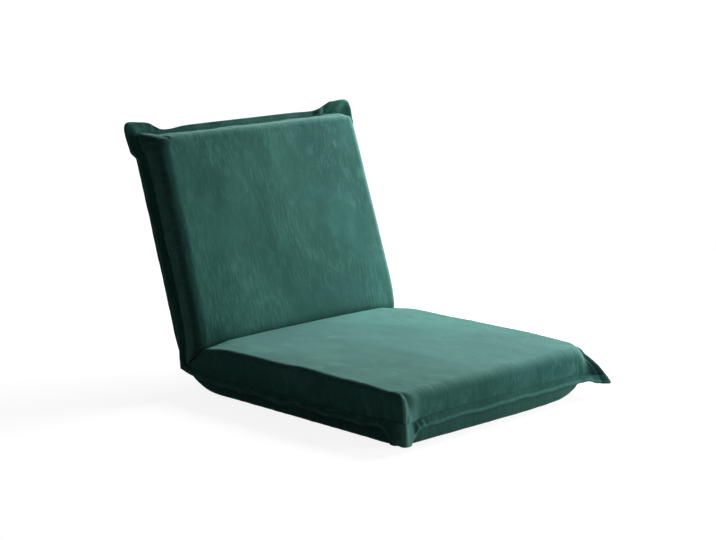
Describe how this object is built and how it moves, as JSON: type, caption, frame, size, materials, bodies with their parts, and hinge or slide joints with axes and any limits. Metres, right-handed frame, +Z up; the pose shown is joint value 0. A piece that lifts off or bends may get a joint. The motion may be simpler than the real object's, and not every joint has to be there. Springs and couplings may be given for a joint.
{
  "type": "folding floor chair",
  "caption": "Legless padded floor chair: boxed fabric seat and back joined by ratchet hinges, with a sewn flange all round and pointed ears at the free corners.",
  "frame": {"origin": "middle of the flat underside of the seat, on the floor", "axes": "+X across the chair, -Y towards the front of the seat, +Z up; the back leans towards +Y"},
  "size_m": [0.56, 0.7386, 0.4901],
  "materials": {
    "cover_velvet": "matte",
    "foam": "matte",
    "webbing": "matte",
    "tube_paint": "satin",
    "hinge_steel": "satin",
    "spring_steel": "satin",
    "washer_nylon": "matte",
    "zip_tape": "matte",
    "zip_nylon": "satin",
    "zip_metal": "satin"
  },
  "bodies": {
    "seat": {"seat_frame_tube": "tube_paint", "seat_rear_cross_tube": "tube_paint", "seat_mid_cross_tube": "tube_paint", "seat_webbing_straps": "webbing", "seat_spigot_rivets": "hinge_steel", "seat_foam_top": "foam", "seat_foam_base": "foam", "seat_cover_top": "cover_velvet", "seat_cover_base": "cover_velvet", "seat_flange": "cover_velvet", "seat_crease_roll": "foam", "fold_gusset": "cover_velvet", "hinge_housing_left": "hinge_steel", "hinge_pin_left": "hinge_steel", "hinge_washers_left": "washer_nylon", "pawl_pin_left": "hinge_steel", "pawl_spring_left": "spring_steel", "hinge_housing_right": "hinge_steel", "hinge_pin_right": "hinge_steel", "hinge_washers_right": "washer_nylon", "pawl_pin_right": "hinge_steel", "pawl_spring_right": "spring_steel"},
    "backrest": {"back_frame_tube": "tube_paint", "back_lower_cross_tube": "tube_paint", "back_lumbar_cross_tube": "tube_paint", "back_webbing_straps": "webbing", "back_spigot_rivets": "hinge_steel", "back_foam_front": "foam", "back_foam_rear": "foam", "back_cover_front": "cover_velvet", "back_cover_rear": "cover_velvet", "back_flange": "cover_velvet", "back_crease_roll": "foam", "zip_tapes": "zip_tape", "zip_coils": "zip_nylon", "zip_stops": "zip_metal", "hinge_arm_left": "hinge_steel", "hinge_arm_right": "hinge_steel"},
    "pawl_left": {"pawl_left": "hinge_steel"},
    "pawl_right": {"pawl_right": "hinge_steel"},
    "zip_slider": {"zip_slider": "zip_metal"},
    "zip_pull": {"zip_pull": "zip_metal"}
  },
  "joints": [
    {"name": "recline", "type": "hinge", "parent": "seat", "child": "backrest", "pos_m": [0, 0.28906, 0.05], "axis": [-1, 0, 0], "range_deg": [-27, 72], "deforming": ["seat_crease_roll", "back_crease_roll", "fold_gusset"]},
    {"name": "pawl_left_swing", "type": "hinge", "parent": "seat", "child": "pawl_left", "pos_m": [-0.218, 0.26186, 0.06025], "axis": [1, 0, 0], "range_deg": [-4, 8.8], "stiffness_Nm_per_rad": 0.3, "deforming": ["pawl_spring_left"]},
    {"name": "pawl_right_swing", "type": "hinge", "parent": "seat", "child": "pawl_right", "pos_m": [0.218, 0.26186, 0.06025], "axis": [1, 0, 0], "range_deg": [-4, 8.8], "stiffness_Nm_per_rad": 0.3, "deforming": ["pawl_spring_right"]},
    {"name": "zip_slide", "type": "slide", "parent": "backrest", "child": "zip_slider", "axis": [1, 0, 0], "range_m": [-0.012, 0.41]},
    {"name": "zip_pull_swing", "type": "hinge", "parent": "zip_slider", "child": "zip_pull", "pos_m": [-0.2, 0.36742, 0.12029], "axis": [1, 0, 0], "range_deg": [-15, 150]}
  ]
}
